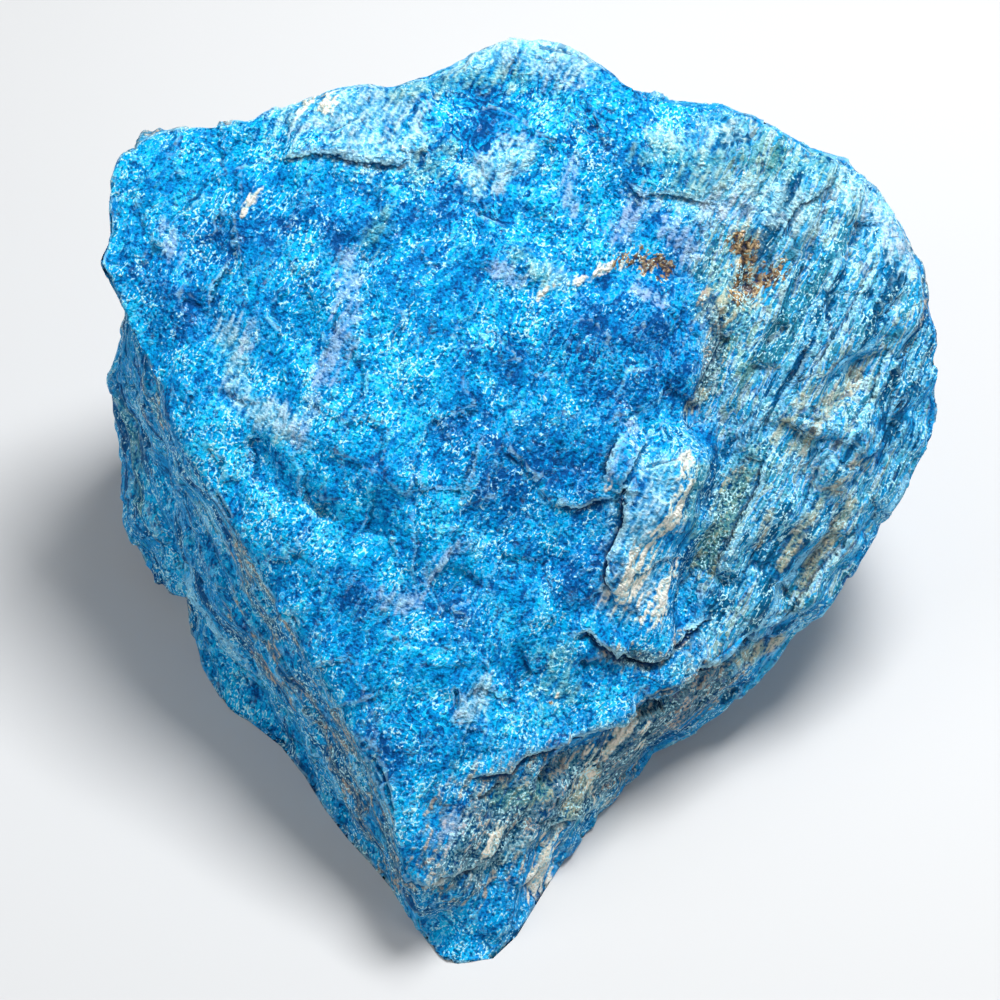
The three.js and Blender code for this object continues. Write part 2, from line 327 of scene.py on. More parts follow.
@dataclass(frozen=True)
class Stain:
    """How one kind of coloured area looks.

    Args:
        zone: The kind of area.
        starts: Strength at which its colour begins.
        full: Strength at which its colour is whole.
        most: Share of its colour that shows there.
        breakup: How its edge is broken up.
        tones: Its tones as sRGB hex, which follow each other from grain to grain.
    """

    zone: Zone
    starts: float
    full: float
    most: float
    breakup: Breakup
    tones: Tones


STAINS = (
    # Teal: grey-teal colour that doubles as painted shade on the low wall and in the gaps by the blades,
    # hence its dark first tone.
    Stain(
        Zone.TEAL_AND_SHADE, 0.12, 0.55, 0.85, Breakup.BLOTS, ("#082c3e", "#2a5a6c", "#6b8488", "#2a7090", "#b09c84")
    ),
    Stain(Zone.PALE, 0.3, 1.0, 0.55, Breakup.BLOTS, ("#5cb8d8", "#98d4e4", "#d8f2f4")),
    Stain(Zone.GREEN, 0.35, 1.05, 0.5, Breakup.BLOTS, ("#23808f", "#4d9a94", "#86b098")),
    Stain(Zone.GREY, 0.45, 0.95, 0.6, Breakup.BLOTS, ("#4c8cc4", "#7ea4cc", "#aab8d0")),
    Stain(Zone.BEIGE, 0.3, 0.85, 0.8, Breakup.BLOTS, ("#6f9a92", "#9caa94", "#c0b89c")),
    Stain(Zone.CREAM, 0.65, 0.95, 0.85, Breakup.STRIPS, ("#88c4d0", "#bcdcd8", "#dfd8c0", "#f4ecdc")),
    Stain(Zone.RUST, 0.56, 0.68, 0.95, Breakup.SPECKS, ("#33241a", "#735536", "#b89c70")),
)


@dataclass(frozen=True)
class ApatiteFinish:
    """Colours and gloss of the rock, as sRGB hex.

    Args:
        azure: Tones of the main crystals, from the darkest to the palest.
        ribbed: Tones of the long crystals on the right part.
        shaded: Tones of the sheets on the left side, the back and the low wall.
        fleck: Colour of the pale broken edges and ridges, partly crushed white and partly painted glints
            and highlights, and of the painted highlight on step lips.
        gap: Painted shade in the deep gaps between crystals, where the fine bumps are low.
        painted_crevice_shade: Painted shade for the hollows and painted shadow line for the cracks under
            steps.
        ior: Index of refraction of apatite.
        gloss: Roughness of the smooth crystal faces.
        matt: Roughness of the crushed surface between them.
        gloss_level: How much more a smooth face reflects than the crushed surface.
        matt_level: How much the crushed surface reflects.
    """

    azure: Tones = ("#004684", "#0070b6", "#0092d4", "#00ace8", "#30c8f4", "#96ecfc")
    ribbed: Tones = (
        "#084c70", "#0f8cc8", "#7cc4e4", "#3f9cb0", "#0a90d8", "#bcdfe8", "#8aa890", "#10a0e0", "#2a7488"
    )
    shaded: Tones = ("#00487c", "#0a78b8", "#2a9edc", "#0882cc", "#3a9fc0", "#14aaf0", "#84ccf0")
    fleck: str = "#c0f4ff"
    gap: str = "#003f7a"
    painted_crevice_shade: str = "#05305c"
    ior: float = 1.63
    gloss: float = 0.25
    matt: float = 0.6
    gloss_level: float = 0.42
    matt_level: float = 0.04


PATCHES = (
    Patch("pale blade above the cream blades", Zone.PALE, 4.2, ((665, 480), (645, 530), (630, 585))),
    Patch("pale end of the cream seam", Zone.PALE, 1.8, ((545, 272), (560, 285))),
    Patch("pale top left edge", Zone.PALE, 4.5, ((300, 108), (350, 112), (400, 105))),
    Patch("pale flake below it", Zone.PALE, 3.5, ((345, 140), (380, 150), (410, 140))),
    Patch("pale top lump", Zone.PALE, 4.0, ((470, 60), (520, 48), (580, 62))),
    Patch("pale flake on the lump", Zone.PALE, 2.6, ((500, 165), (480, 185), (520, 150))),
    Patch("pale flakes at the upper right", Zone.PALE, 2.0, ((660, 140), (700, 145), (740, 130))),
    Patch("pale band on the right shoulder", Zone.PALE, 3.0, ((700, 190), (760, 195), (800, 215))),
    Patch("pale far right shoulder", Zone.PALE, 3.0, ((840, 180), (880, 215), (905, 260))),
    Patch("pale lip at the front tip", Zone.PALE, 1.2, ((415, 885), (440, 876), (470, 870), (505, 848))),
    Patch("pale lip on the right of the tip", Zone.PALE, 1.2, ((520, 845), (560, 822), (600, 802))),
    Patch("pale flake above the ledge", Zone.PALE, 2.2, ((480, 690), (470, 712))),
    Patch("pale dusty stretch on the left", Zone.PALE, 2.0, ((230, 330), (240, 400), (290, 425))),
    Patch("cream seam", Zone.CREAM, 0.7, ((530, 300), (547, 290), (590, 279), (606, 268), (640, 259))),
    Patch("long cream blade", Zone.CREAM, 2.2, ((690, 464), (683, 490), (668, 520), (652, 548))),
    Patch("cream blade's foot", Zone.CREAM, 2.8, ((640, 560), (625, 590))),
    Patch("lower cream blade", Zone.CREAM, 2.0, ((672, 575), (660, 602), (648, 628))),
    Patch("thin cream blade", Zone.CREAM, 0.8, ((630, 445), (618, 470), (610, 486))),
    Patch("cream speck in the middle", Zone.CREAM, 0.7, ((545, 398),)),
    Patch("cream speck on the ridge", Zone.CREAM, 0.7, ((361, 719),)),
    Patch("cream fleck at the upper left", Zone.CREAM, 0.9, ((243, 212), (258, 190))),
    Patch("cream strip on the top edge", Zone.CREAM, 1.8, ((300, 103), (330, 104))),
    Patch("cream facet low at the front", Zone.CREAM, 3.0, ((548, 852), (536, 884))),
    Patch("small cream facet beside it", Zone.CREAM, 1.8, ((500, 832), (490, 852))),
    Patch("cream facet in the wall", Zone.CREAM, 1.6, ((633, 718), (608, 750))),
    Patch("cream facet left of it", Zone.CREAM, 1.2, ((594, 750), (588, 772))),
    Patch("cream facet below it", Zone.CREAM, 1.4, ((590, 775), (586, 800))),
    Patch("cream facet right of it", Zone.CREAM, 1.0, ((645, 728), (640, 746))),
    Patch("cream strip in the right hollow", Zone.CREAM, 0.8, ((745, 232), (742, 262))),
    Patch("cream speck on the ledge", Zone.CREAM, 0.7, ((555, 697), (552, 708))),
    Patch("rust speck on the seam", Zone.RUST, 0.5, ((596, 283),)),
    Patch(
        "rust crumbs at the seam's end",
        Zone.RUST,
        1.1,
        ((622, 262), (637, 256), (645, 266), (658, 263), (668, 270)),
    ),
    Patch("rust crumbs below them", Zone.RUST, 0.8, ((660, 277), (671, 272))),
    Patch(
        "rust patch in the right hollow",
        Zone.RUST,
        1.5,
        ((742, 240), (748, 268), (738, 300), (755, 285), (776, 274)),
    ),
    Patch("rust spot below it", Zone.RUST, 0.9, ((733, 300), (742, 288))),
    Patch("rust speck on the ledge", Zone.RUST, 0.5, ((551, 703),)),
    Patch("rust speck on the blade", Zone.RUST, 0.5, ((652, 633),)),
    Patch("lavender fleck at the far left", Zone.GREY, 1.4, ((165, 225), (172, 255))),
    Patch("lavender streak", Zone.GREY, 2.2, ((352, 262), (350, 300), (340, 345), (325, 375))),
    Patch("lavender streak's lower end", Zone.GREY, 1.6, ((315, 400), (300, 440))),
    Patch("lavender fleck left of it", Zone.GREY, 1.5, ((255, 320), (248, 345))),
    Patch("lavender streak on the lump", Zone.GREY, 1.2, ((573, 162), (567, 190), (572, 212))),
    Patch("lavender sheet beside the blades", Zone.GREY, 1.6, ((632, 432), (615, 470))),
    Patch("lavender fleck in the lower middle", Zone.GREY, 1.2, ((470, 545), (440, 560), (428, 575))),
    Patch("lavender sheet by the seam", Zone.GREY, 2.2, ((640, 205), (625, 235))),
    Patch("lavender sheet right of it", Zone.GREY, 2.4, ((670, 225), (690, 250))),
    Patch("lavender fleck below the rust", Zone.GREY, 1.5, ((640, 290), (660, 300))),
    Patch("lavender on the right shoulder", Zone.GREY, 2.5, ((870, 210), (905, 250))),
    Patch("lavender above the right hollow", Zone.GREY, 2.0, ((710, 205), (745, 210))),
    Patch("lavender fleck near the ridge", Zone.GREY, 1.8, ((385, 600), (410, 600))),
    Patch("lavender fleck near the tip", Zone.GREY, 1.8, ((455, 815), (445, 835))),
    Patch("lavender fleck left of the seam", Zone.GREY, 1.5, ((500, 270), (520, 280))),
    Patch("green band along the top", Zone.GREEN, 2.0, ((395, 95), (430, 85), (470, 78), (520, 78))),
    Patch("green band on the right shoulder", Zone.GREEN, 3.0,
        ((650, 155), (700, 165), (760, 160), (820, 165)),
    ),
    Patch("green fleck above the seam", Zone.GREEN, 2.0, ((670, 178), (700, 185))),
    Patch("green streak in the right hollow", Zone.GREEN, 1.6, ((735, 240), (720, 270), (725, 310))),
    Patch("green streak below it", Zone.GREEN, 2.2, ((745, 310), (735, 340), (745, 370))),
    Patch("green foot of the cream blade", Zone.GREEN, 2.0, ((705, 470), (690, 510), (700, 540))),
    Patch("green streak along the right crack", Zone.GREEN, 2.2, ((760, 455), (735, 500), (705, 560))),
    Patch("green spot on the ledge", Zone.GREEN, 2.6, ((555, 660), (565, 690), (545, 690))),
    Patch("green end of the seam", Zone.GREEN, 1.6, ((540, 275), (520, 255))),
    Patch("green flake at the upper left", Zone.GREEN, 2.2, ((420, 170), (440, 150))),
    Patch("green lobe on the left", Zone.GREEN, 2.2, ((120, 400), (135, 440), (140, 500))),
    Patch("green flake below the top edge", Zone.GREEN, 1.6, ((370, 240), (385, 215))),
    Patch("green on the wall", Zone.GREEN, 2.0, ((500, 800), (540, 790))),
    Patch("beige streak on the right", Zone.BEIGE, 1.3, ((855, 375), (825, 410), (800, 450))),
    Patch("beige streak in the middle right", Zone.BEIGE, 1.0, ((840, 480), (805, 522), (790, 552))),
    Patch("beige streak at the lower right", Zone.BEIGE, 1.1, ((850, 505), (815, 562), (800, 597))),
    Patch("short beige streak left", Zone.BEIGE, 0.8, ((768, 514), (757, 542))),
    Patch("short beige streak right", Zone.BEIGE, 0.8, ((792, 548), (780, 567))),
    Patch("beige lining of the right hollow", Zone.BEIGE, 2.2, ((745, 235), (748, 265), (732, 305))),
    Patch("beige spot on the wall", Zone.BEIGE, 1.6, ((590, 775), (570, 810))),
    Patch("beige spot by the crack", Zone.BEIGE, 1.2, ((700, 395), (690, 410))),
    Patch("beige streak at the far right", Zone.BEIGE, 0.9, ((870, 430), (845, 480))),
    Patch("beige streak below the shoulder", Zone.BEIGE, 1.0, ((800, 400), (775, 440))),
    Patch("beige spot at the right foot", Zone.BEIGE, 1.4, ((780, 640), (740, 660))),
    Patch("cobalt grain at the left edge", Zone.DEEP, 2.2, ((160, 285), (140, 275))),
    Patch("small cobalt grain beside it", Zone.DEEP, 1.6, ((190, 275), (185, 290))),
    Patch("cobalt grains on the left", Zone.DEEP, 3.2, ((190, 300), (190, 320))),
    Patch("cobalt grain at the upper left", Zone.DEEP, 2.6, ((210, 240), (235, 240))),
    Patch("cobalt grains below the top edge", Zone.DEEP, 3.0, ((270, 225), (300, 215))),
    Patch("cobalt grain right of them", Zone.DEEP, 2.0, ((320, 215), (340, 240))),
    Patch("cobalt grain on the lump", Zone.DEEP, 2.4, ((465, 125), (480, 130))),
    Patch("small cobalt grain on the lump", Zone.DEEP, 1.5, ((440, 145), (460, 152))),
    Patch("cobalt crystal on the lump's right", Zone.DEEP, 2.0, ((590, 133), (603, 150))),
    Patch("large cobalt crystals in the middle", Zone.DEEP, 4.5, ((480, 440), (520, 460), (500, 490))),
    Patch("cobalt grain left of them", Zone.DEEP, 2.2, ((445, 430), (460, 425))),
    Patch("large cobalt crystals under the seam", Zone.DEEP, 5.5, ((600, 335), (640, 320), (670, 350))),
    Patch("cobalt grain by the rust", Zone.DEEP, 3.0, ((690, 270), (700, 260))),
    Patch("cobalt crystals below them", Zone.DEEP, 3.0, ((650, 380), (610, 400))),
    Patch("small cobalt grain in the middle", Zone.DEEP, 1.6, ((508, 362), (520, 355))),
    Patch("cobalt crystal left of the blades", Zone.DEEP, 2.6, ((560, 560), (575, 590))),
    Patch("cobalt crystal above the blades", Zone.DEEP, 2.4, ((590, 480), (600, 520))),
    Patch("cobalt crystal's edge", Zone.DEEP, 2.0, ((585, 570), (600, 550))),
    Patch("cobalt grain near the ridge", Zone.DEEP, 2.6, ((360, 590), (350, 600))),
    Patch("cobalt grains in the lower middle", Zone.DEEP, 2.6, ((430, 600), (460, 615))),
    Patch("cobalt grain at the front", Zone.DEEP, 2.4, ((375, 740), (400, 755))),
    Patch("small cobalt grain at the front", Zone.DEEP, 1.6, ((470, 800), (465, 810))),
    Patch("cobalt grains under the lump", Zone.DEEP, 2.4, ((440, 180), (445, 210))),
    Patch("azure crystals at the far right", Zone.DEEP, 3.0, ((885, 440), (870, 470))),
    Patch("small cobalt grain at the seam", Zone.DEEP, 1.6, ((585, 300), (600, 320))),
    Patch("bright upper left corner", Zone.BRIGHT, 6.0, ((150, 150), (200, 160))),
    Patch("bright top left", Zone.BRIGHT, 6.0, ((260, 150), (300, 180))),
    Patch("bright middle left", Zone.BRIGHT, 7.0, ((370, 320), (330, 380))),
    Patch("bright middle", Zone.BRIGHT, 7.0, ((400, 370), (360, 460))),
    Patch("bright left", Zone.BRIGHT, 6.0, ((270, 350), (310, 350))),
    Patch("bright lower middle", Zone.BRIGHT, 6.0, ((430, 560), (380, 520))),
    Patch("bright lower front", Zone.BRIGHT, 6.0, ((450, 660), (420, 640))),
    Patch("bright lump", Zone.BRIGHT, 5.0, ((590, 90),)),
    Patch("flakes at the upper left", Zone.FLAKY, 4.5, ((280, 130), (340, 135), (400, 150))),
    Patch("flakes on the lump", Zone.FLAKY, 5.0, ((430, 110), (520, 90), (590, 110))),
    Patch("flakes under the lump", Zone.FLAKY, 5.0, ((430, 160), (500, 160), (540, 140))),
    Patch("flakes above the seam", Zone.FLAKY, 4.0, ((480, 215), (530, 200))),
    Patch("flakes on the right shoulder", Zone.FLAKY, 5.0, ((650, 150), (720, 165), (800, 160))),
    Patch("flakes in the middle", Zone.FLAKY, 3.0, ((470, 345), (540, 340), (590, 360))),
    Patch("flakes above the ledge", Zone.FLAKY, 4.0, ((420, 720), (500, 700))),
    # Grey-teal colour on the low wall under the ledge, darkened there partly as painted shade.
    Patch("grey teal at the tip", Zone.TEAL_AND_SHADE, 6.0, ((470, 850), (520, 810))),
    Patch("grey teal wall", Zone.TEAL_AND_SHADE, 6.0, ((560, 800), (620, 760))),
    Patch("grey teal right wall", Zone.TEAL_AND_SHADE, 5.0, ((650, 730), (700, 690))),
    # Painted shade: dark teal put into the gaps beside and under the blades.
    Patch("dark gap right of the blades", Zone.TEAL_AND_SHADE, 1.5, ((742, 478), (722, 520), (705, 560))),
    Patch("dark gap under the blades", Zone.TEAL_AND_SHADE, 1.5, ((612, 652), (648, 660), (680, 642))),
    Patch("dark gap left of the right hollow", Zone.TEAL_AND_SHADE, 1.3, ((712, 300), (716, 340), (700, 385))),
)

STEPS = (
    Step("left edge of the middle crystal", 0.35, 6.0, ((485, 426), (475, 450), (463, 485), (458, 512))),
    Step("edge above the blades", 0.7, 5.0, ((556, 490), (556, 505), (580, 511), (592, 502), (625, 497))),
    Step("left edge of the cream blades", 1.2, 5.0,
        ((637, 475), (621, 500), (622, 520), (611, 552), (605, 580), (620, 596)),
    ),
    Step("upper blade's left edge", 0.8, 3.0, ((620, 425), (611, 450), (602, 490))),
    Step("upper blade's foot", 0.5, 3.0, ((602, 490), (620, 496), (635, 462), (650, 437))),
    Step("right crack", 0.6, 4.0, ((770, 445), (760, 480), (740, 520), (720, 555), (720, 575))),
    Step("top edge of the blades", 0.5, 4.0, ((688, 458), (660, 465), (637, 475))),
    Step("upper ledge", 1.0, 5.0,
        ((565, 640), (590, 632), (600, 645), (625, 655), (650, 662), (680, 640), (715, 615)),
    ),
    Step("lower ledge", 0.9, 5.0,
        ((461, 781), (509, 772), (525, 757), (545, 751), (605, 728), (655, 695), (700, 668), (735, 655)),
    ),
    Step("lip at the front tip", 0.7, 4.0, ((408, 880), (425, 888), (440, 876), (470, 870), (505, 848))),
    Step("lip right of the tip", 0.6, 4.0, ((520, 845), (560, 822), (600, 802))),
    Step("flake edge at the upper left", 0.7, 5.0,
        ((272, 160), (312, 154), (340, 156), (380, 164), (400, 164), (417, 155)),
    ),
    Step("edge of the left grains", 0.5, 4.0, ((210, 317), (215, 290), (230, 265), (226, 250))),
    Step("edge across the middle", 0.25, 5.0, ((375, 475), (405, 494), (460, 490), (490, 492))),
    Step("upright edge in the middle", 0.25, 4.0, ((416, 590), (415, 555), (416, 520), (414, 495))),
    Step("edge above the ledge", 0.35, 4.0, ((455, 705), (480, 688), (515, 705))),
    Step("edge under the lump", 0.5, 4.0, ((505, 225), (480, 215), (470, 205))),
    Step("edge right of the lump", 0.5, 5.0, ((620, 180), (640, 195), (680, 195), (720, 205))),
    Step("edge on the right shoulder", 0.5, 4.0, ((780, 240), (800, 205), (840, 180))),
    Step("small edge on the ledge", 0.4, 4.0, ((640, 690), (655, 698))),
    Step("left wall of the right hollow", 0.5, 4.0, ((690, 400), (720, 340), (715, 290))),
    Step("right shoulder's rib", 0.5, 4.0, ((880, 250), (850, 310), (800, 390))),
    Step("far right rib", 0.4, 4.0, ((900, 330), (870, 400), (820, 470), (790, 530))),
    Step("rib right of the rust", 0.4, 4.0, ((820, 330), (780, 400), (760, 440))),
    Step("lower right rib", 0.5, 5.0, ((860, 520), (800, 600), (770, 630))),
)


def linear(hex_text: str) -> tuple[float, float, float, float]:
    """Turns an sRGB hex colour into linear RGBA.

    Args:
        hex_text: Colour such as "#1583d8".

    Returns:
        Red, green and blue from 0 to 1 in linear light, and an alpha of 1.
    """
    parts = [int(hex_text[i : i + 2], 16) / 255 for i in (1, 3, 5)]
    r, g, b = [p / 12.92 if p <= 0.04045 else ((p + 0.055) / 1.055) ** 2.4 for p in parts]
    return r, g, b, 1.0


def unit(direction: tuple[float, float, float]) -> np.ndarray:
    """The direction with a length of 1."""
    return np.array(direction) / np.linalg.norm(direction)


def smoothstep(values: np.ndarray, low: float, high: float) -> np.ndarray:
    """Rises smoothly from 0 at low to 1 at high."""
    t = np.clip((values - low) / (high - low), 0, 1)
    return t * t * (3 - 2 * t)


def chance(cells: np.ndarray, salt: int) -> np.ndarray:
    """Gives a repeatable random number for each lattice cell.

    Args:
        cells: Whole-number cells, one row of three each.
        salt: Chooses one of many independent numbers.

    Returns:
        One number from 0 to 1 for each row.
    """
    c = cells.astype(np.int64).astype(np.uint32)
    h = c[:, 0] * np.uint32(374761393) ^ c[:, 1] * np.uint32(668265263) ^ c[:, 2] * np.uint32(1274126177)
    h = h ^ np.uint32((salt * 974634777 + SEED) & 0xFFFFFFFF)
    h = (h ^ (h >> np.uint32(15))) * np.uint32(2246822519)
    h = (h ^ (h >> np.uint32(13))) * np.uint32(3266489917)
    return (h ^ (h >> np.uint32(16))).astype(float) / 2**32


def swell(points: np.ndarray, length: float, salt: int) -> np.ndarray:
    """Smooth noise from -1 to 1 whose bumps have the given length.

    Args:
        points: Places, in the same unit as length.
        length: Size of a bump.
        salt: Chooses one of many independent patterns.

    Returns:
        One value for each point.
    """
    scaled = points / length
    cell = np.floor(scaled)
    t = scaled - cell
    t = t * t * (3 - 2 * t)
    total = np.zeros(len(points))
    for corner in np.ndindex(2, 2, 2):
        weight = np.prod(np.where(np.array(corner) == 1, t, 1 - t), axis=1)
        total += weight * chance(cell + corner, salt)
    return total * 2 - 1


def strayed(points: np.ndarray, size: tuple[float, float], salt: int) -> np.ndarray:
    """Smooth noise whose most and whose length are the two numbers of the size."""
    most, length = size
    return swell(points, length, salt) * most


@dataclass
class Grains:
    """The two nearest scattered grain centres of each point.

    Args:
        offset: From the nearest grain's centre to the point.
        cell: Lattice cell of the nearest grain.
        gap: How much farther the second grain is than the nearest.
    """

    offset: np.ndarray
    cell: np.ndarray
    gap: np.ndarray

    @classmethod
    def around(cls, points: np.ndarray, size: float, salt: int) -> "Grains":
        """Scatters one grain in each lattice cell and finds the nearest to each point.

        Args:
            points: Places, in the same unit as size.
            size: Mean distance between grains.
            salt: Chooses one of many independent patterns.

        Returns:
            The nearest grains.
        """
        base = np.floor(points / size)
        first = np.full(len(points), np.inf)
        second = np.full(len(points), np.inf)
        offset = np.zeros_like(points)
        cell = np.zeros_like(points)
        for step in np.ndindex(3, 3, 3):
            here = base + step - 1
            jitter = np.stack([chance(here, salt + i) for i in range(3)], axis=1)
            away = points - (here + jitter) * size
            distance = np.linalg.norm(away, axis=1)
            nearer = distance < first
            second = np.where(nearer, first, np.minimum(second, distance))
            first = np.where(nearer, distance, first)
            offset[nearer] = away[nearer]
            cell[nearer] = here[nearer]
        return cls(offset, cell, second - first)

    def planes(self, slope: float, salt: int) -> np.ndarray:
        """Height of a flat face on each grain, each with a random tilt of up to the slope."""
        tilt = np.stack([chance(self.cell, salt + i) for i in range(3)], axis=1) * 2 - 1
        return (tilt * self.offset).sum(axis=1) * slope


def distance_to_path(points: np.ndarray, path: np.ndarray) -> np.ndarray:
    """Distance from each point to a path.

    Args:
        points: Places to measure from.
        path: Corners of the path, or a single place.

    Returns:
        One distance for each point.
    """
    nearest = np.linalg.norm(points - path[0], axis=1)
    for start, end in zip(path[:-1], path[1:]):
        line = end - start
        t = np.clip((points - start) @ line / (line @ line), 0, 1)
        nearest = np.minimum(nearest, np.linalg.norm(points - start - t[:, None] * line, axis=1))
    return nearest


class Surface:
    """A closed surface of triangles, in millimetres."""

    def __init__(self, points: np.ndarray, faces: np.ndarray) -> None:
        self.points = points
        self.faces = faces

    @classmethod
    def from_node(cls, node: bpy.types.Object) -> "Surface":
        """Reads a node of the frame and joins its points where faces meet.

        Args:
            node: Mesh object of the frame.

        Returns:
            The node's surface.
        """
        mesh = node.data
        mesh.calc_loop_triangles()
        points = np.empty(len(mesh.vertices) * 3)
        mesh.vertices.foreach_get("co", points)
        faces = np.empty(len(mesh.loop_triangles) * 3, dtype=np.int32)
        mesh.loop_triangles.foreach_get("vertices", faces)
        points = points.reshape(-1, 3) / MM
        _, first, joined = np.unique(np.round(points, 3), axis=0, return_index=True, return_inverse=True)
        return cls(points[first], joined.reshape(-1)[faces].reshape(-1, 3))

    def normals(self) -> np.ndarray:
        """Unit normal of each point, weighted by the area of the faces round it."""
        a, b, c = (self.points[self.faces[:, i]] for i in range(3))
        face = np.cross(b - a, c - a)
        total = np.zeros_like(self.points)
        for i in range(3):
            np.add.at(total, self.faces[:, i], face)
        return total / np.maximum(np.linalg.norm(total, axis=1, keepdims=True), 1e-12)

    def edges(self) -> tuple[np.ndarray, np.ndarray]:
        """All edges once each, and for each face the three edges opposite its corners."""
        f = self.faces
        pairs = np.sort(np.stack([f[:, [1, 2]], f[:, [2, 0]], f[:, [0, 1]]], axis=1), axis=2)
        edges, index = np.unique(pairs.reshape(-1, 2), axis=0, return_inverse=True)
        return edges, index.reshape(-1, 3)

    def mean_of_neighbours(self) -> np.ndarray:
        """For each point, the mean of the points that share an edge with it."""
        edges, _ = self.edges()
        total = np.zeros_like(self.points)
        count = np.zeros(len(self.points))
        for here, there in ((0, 1), (1, 0)):
            np.add.at(total, edges[:, here], self.points[edges[:, there]])
            np.add.at(count, edges[:, here], 1)
        return total / count[:, None]

    def creases(self, edges: np.ndarray, face_edges: np.ndarray) -> np.ndarray:
        """How sharp each edge is, from 0 where its two faces lie almost level to 1 at a ridge."""
        a, b, c = (self.points[self.faces[:, i]] for i in range(3))
        normal = np.cross(b - a, c - a)
        normal /= np.maximum(np.linalg.norm(normal, axis=1, keepdims=True), 1e-12)
        total = np.zeros((len(edges), 3))
        for i in range(3):
            np.add.at(total, face_edges[:, i], normal)
        return 1 - smoothstep(np.linalg.norm(total, axis=1) / 2, 0.84, 0.93)

    def divided(self, roundness: float) -> "Surface":
        """Cuts each triangle into four.

        A new point lies on the middle of its edge, drawn towards three eighths of each end
        plus one eighth of each opposite corner. An old point is drawn towards the mean of
        its neighbours. Ridges and points on the ground stay as they are.

        Args:
            roundness: 0 keeps the flat triangles and 1 rounds them fully.

        Returns:
            The finer surface.
        """
        edges, face_edges = self.edges()
        ends = self.points[edges].sum(axis=1)
        opposite = np.zeros_like(ends)
        for i in range(3):
            np.add.at(opposite, face_edges[:, i], self.points[self.faces[:, i]])
        crease = self.creases(edges, face_edges)
        soft = np.ones(len(self.points))
        for i in range(2):
            np.minimum.at(soft, edges[:, i], 1 - crease)
        middles = ends / 2
        rounded = ends * 3 / 8 + opposite / 8
        on_ground = middles[:, 2] < 1e-6
        middles = middles + roundness * (1 - crease)[:, None] * (rounded - middles)
        middles[on_ground, 2] = 0
        pull = roundness * 0.375 * soft[:, None]
        old = self.points + pull * (self.mean_of_neighbours() - self.points)
        old[self.points[:, 2] < 1e-6, 2] = 0
        f, e = self.faces, face_edges + len(self.points)
        finer = np.concatenate(
            [
                np.stack([f[:, 0], e[:, 2], e[:, 1]], axis=1),
                np.stack([f[:, 1], e[:, 0], e[:, 2]], axis=1),
                np.stack([f[:, 2], e[:, 1], e[:, 0]], axis=1),
                e,
            ]
        )
        return Surface(np.concatenate([old, middles]), finer)


